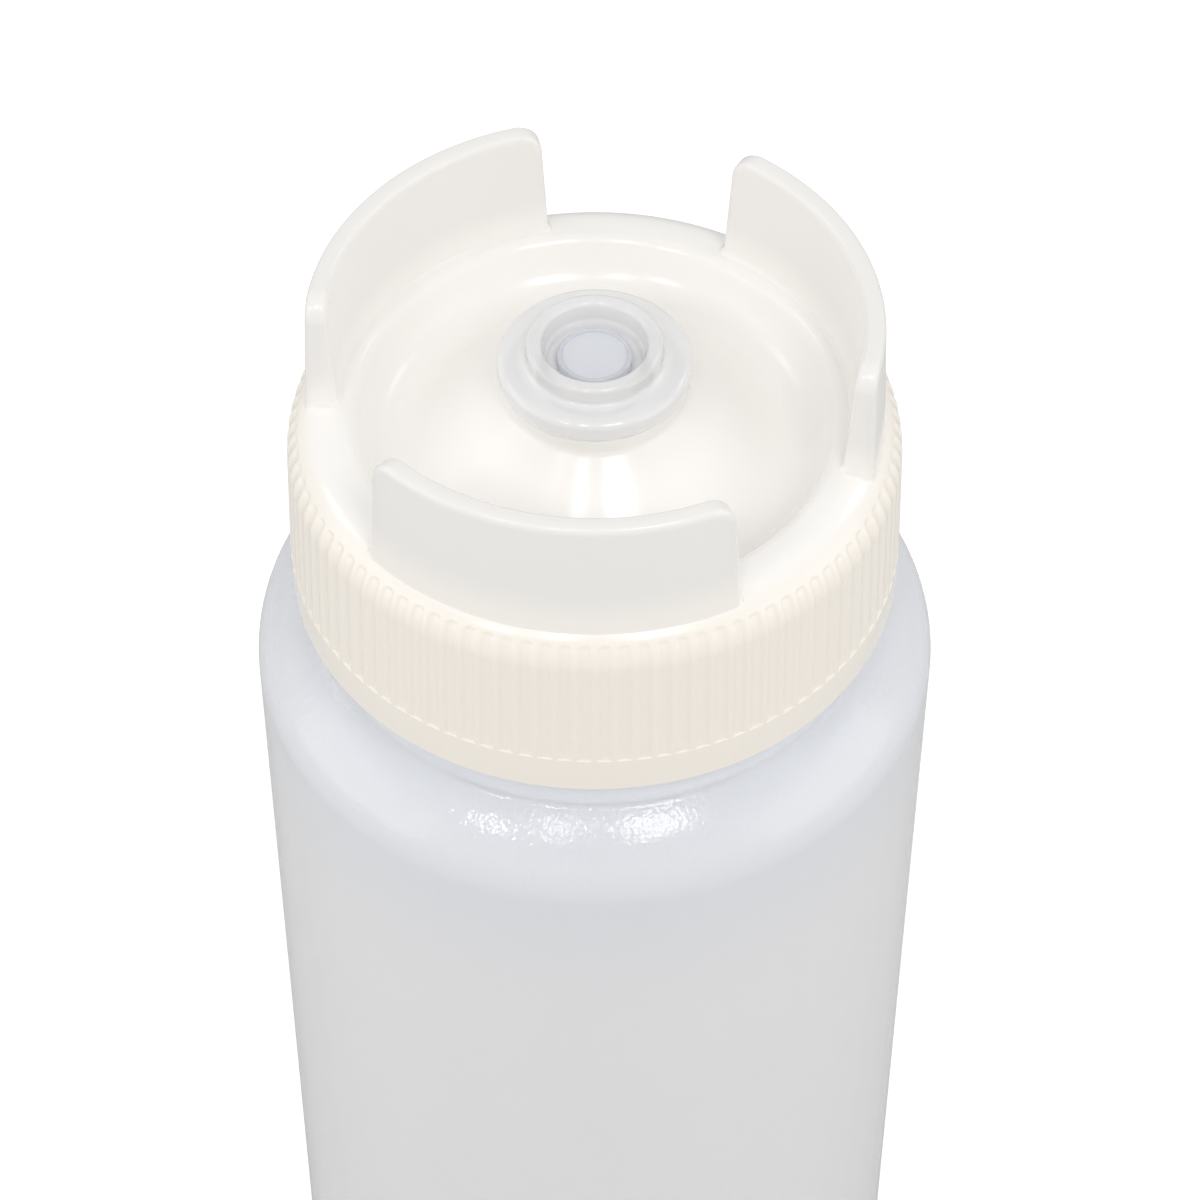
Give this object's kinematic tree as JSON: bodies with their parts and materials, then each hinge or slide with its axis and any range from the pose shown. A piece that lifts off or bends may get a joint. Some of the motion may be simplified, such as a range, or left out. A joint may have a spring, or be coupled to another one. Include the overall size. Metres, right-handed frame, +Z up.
{
  "type": "inverted squeeze bottle",
  "caption": "Translucent squeeze bottle with a wide fluted screw cap, whose dished top holds a slit silicone valve inside upright tabs that the bottle stands on upside down.",
  "frame": {"origin": "middle of the base, on the surface that the bottle stands on", "axes": "+Z up along the bottle's axis to the cap and valve; the picture's viewer looks along +Y, +X is to their right"},
  "size_m": [0.0762, 0.0762, 0.212],
  "materials": {
    "natural_plastic": "uncoloured translucent polyethylene, milky, fine orange peel, satin",
    "ivory_plastic": "injection moulded ivory polypropylene, semi gloss",
    "seal_rubber": "soft pale sealing foam, matt",
    "clear_silicone": "milky translucent silicone rubber, smooth"
  },
  "bodies": {
    "bottle": {"bottle_body": "natural_plastic"},
    "gasket": {"cap_gasket": "seal_rubber"},
    "cap": {"dispensing_cap": "ivory_plastic", "valve_sleeve": "clear_silicone"},
    "petal_1": {"valve_petal_1": "clear_silicone"},
    "petal_2": {"valve_petal_2": "clear_silicone"},
    "petal_3": {"valve_petal_3": "clear_silicone"},
    "petal_4": {"valve_petal_4": "clear_silicone"}
  },
  "joints": [
    {"name": "cap_lift", "type": "slide", "parent": "bottle", "child": "gasket", "axis": [0, 0, 1], "range_m": [0, 0.00635]},
    {"name": "cap_turn", "type": "hinge", "parent": "gasket", "child": "cap", "pos_m": [0, 0, 0.18], "axis": [0, 0, 1], "range_deg": [0, 540]},
    {"name": "petal_1_flex", "type": "hinge", "parent": "cap", "child": "petal_1", "pos_m": [0.00279, 0.00279, 0.20503], "axis": [-0.7071, 0.7071, 0], "range_deg": [0, 50], "stiffness_Nm_per_rad": 0.0002},
    {"name": "petal_2_flex", "type": "hinge", "parent": "cap", "child": "petal_2", "pos_m": [-0.00279, 0.00279, 0.20503], "axis": [-0.7071, -0.7071, 0], "range_deg": [0, 50], "stiffness_Nm_per_rad": 0.0002},
    {"name": "petal_3_flex", "type": "hinge", "parent": "cap", "child": "petal_3", "pos_m": [-0.00279, -0.00279, 0.20503], "axis": [0.7071, -0.7071, 0], "range_deg": [0, 50], "stiffness_Nm_per_rad": 0.0002},
    {"name": "petal_4_flex", "type": "hinge", "parent": "cap", "child": "petal_4", "pos_m": [0.00279, -0.00279, 0.20503], "axis": [0.7071, 0.7071, 0], "range_deg": [0, 50], "stiffness_Nm_per_rad": 0.0002}
  ],
  "couplings": [
    {"joint": "cap_turn", "follows": "cap_lift", "rad_per_m": 1484.2},
    {"joint": "petal_2_flex", "follows": "petal_1_flex", "ratio": 1},
    {"joint": "petal_3_flex", "follows": "petal_1_flex", "ratio": 1},
    {"joint": "petal_4_flex", "follows": "petal_1_flex", "ratio": 1}
  ]
}
